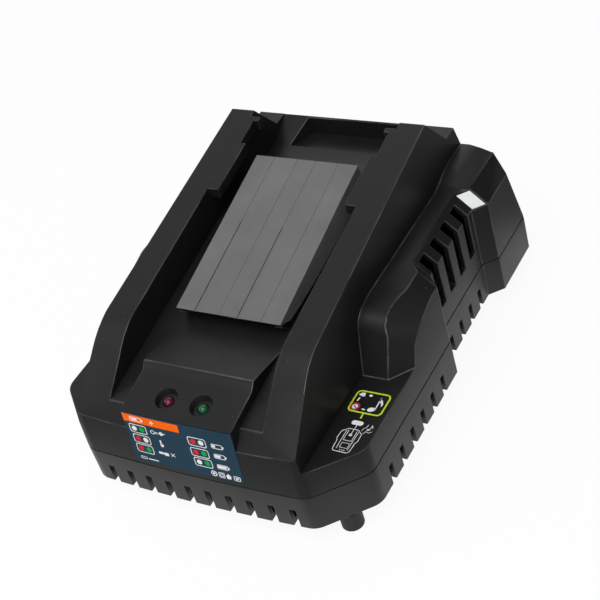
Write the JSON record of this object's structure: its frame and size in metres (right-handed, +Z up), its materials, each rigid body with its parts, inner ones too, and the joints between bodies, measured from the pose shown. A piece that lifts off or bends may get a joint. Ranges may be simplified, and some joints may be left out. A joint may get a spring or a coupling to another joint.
{
  "type": "power tool battery charger",
  "caption": "Mains charger for slide-on power tool battery packs, with a sloping rail bay, a sprung contact cover, lamps and vented sides.",
  "frame": {"origin": "centre of the base, on the plane that the feet stand on", "axes": "+X to the right seen from the lamp end, +Y to the high back end, +Z up"},
  "size_m": [0.1502, 0.1921, 0.0964],
  "materials": {
    "housing_black": "fine spark texture",
    "base_black": "fine spark texture",
    "cover_grey": "matte",
    "spring_steel": "drawn wire",
    "contact_carrier": "moulded",
    "contact_metal": "stamped",
    "lamp_red_lens": "clear tinted, unlit",
    "lamp_green_lens": "clear tinted, unlit",
    "board_laminate": "lacquered",
    "ferrite": "ground ferrite",
    "winding_tape": "polyester tape",
    "capacitor_sleeve": "shrink sleeve",
    "filter_box": "moulded box",
    "choke_core": "coated ring",
    "fuse_glass": "glass tube with caps",
    "device_body": "moulded",
    "heat_sink_metal": "mill finish",
    "buzzer_body": "moulded",
    "inlet_black": "moulded",
    "pin_plating": "nickel plated",
    "lead_brown": "insulated wire",
    "lead_red": "insulated wire",
    "screw_zinc": "zinc plated",
    "foot_rubber": "matte",
    "label_navy": "printed film",
    "sticker_silver": "plain film"
  },
  "bodies": {
    "charger": {"upper_shell": "housing_black", "lower_shell": "base_black", "cover_springs": "spring_steel", "terminal_block": "contact_carrier", "contact_blades": "contact_metal", "lamp_red": "lamp_red_lens", "lamp_green": "lamp_green_lens", "lamp_board": "board_laminate", "main_board": "board_laminate", "transformer_core": "ferrite", "transformer_winding": "winding_tape", "bulk_capacitor": "capacitor_sleeve", "output_capacitors": "capacitor_sleeve", "filter_capacitor": "filter_box", "filter_choke": "choke_core", "fuse": "fuse_glass", "rectifier": "device_body", "heat_sinks": "heat_sink_metal", "power_transistors": "device_body", "buzzer": "buzzer_body", "mains_inlet": "inlet_black", "inlet_pins": "pin_plating", "mains_leads": "lead_brown", "terminal_leads": "lead_red", "housing_screws": "screw_zinc", "board_screws": "screw_zinc", "feet": "foot_rubber", "status_label": "label_navy", "seal_sticker": "sticker_silver"},
    "cover": {"terminal_cover": "cover_grey"}
  },
  "joints": [
    {"name": "cover_slide", "type": "slide", "parent": "charger", "child": "cover", "axis": [0, -0.9736, -0.2283], "range_m": [0, 0.018], "stiffness_N_per_m": 100, "springref_m": -0.012, "deforming": ["cover_springs"]}
  ]
}
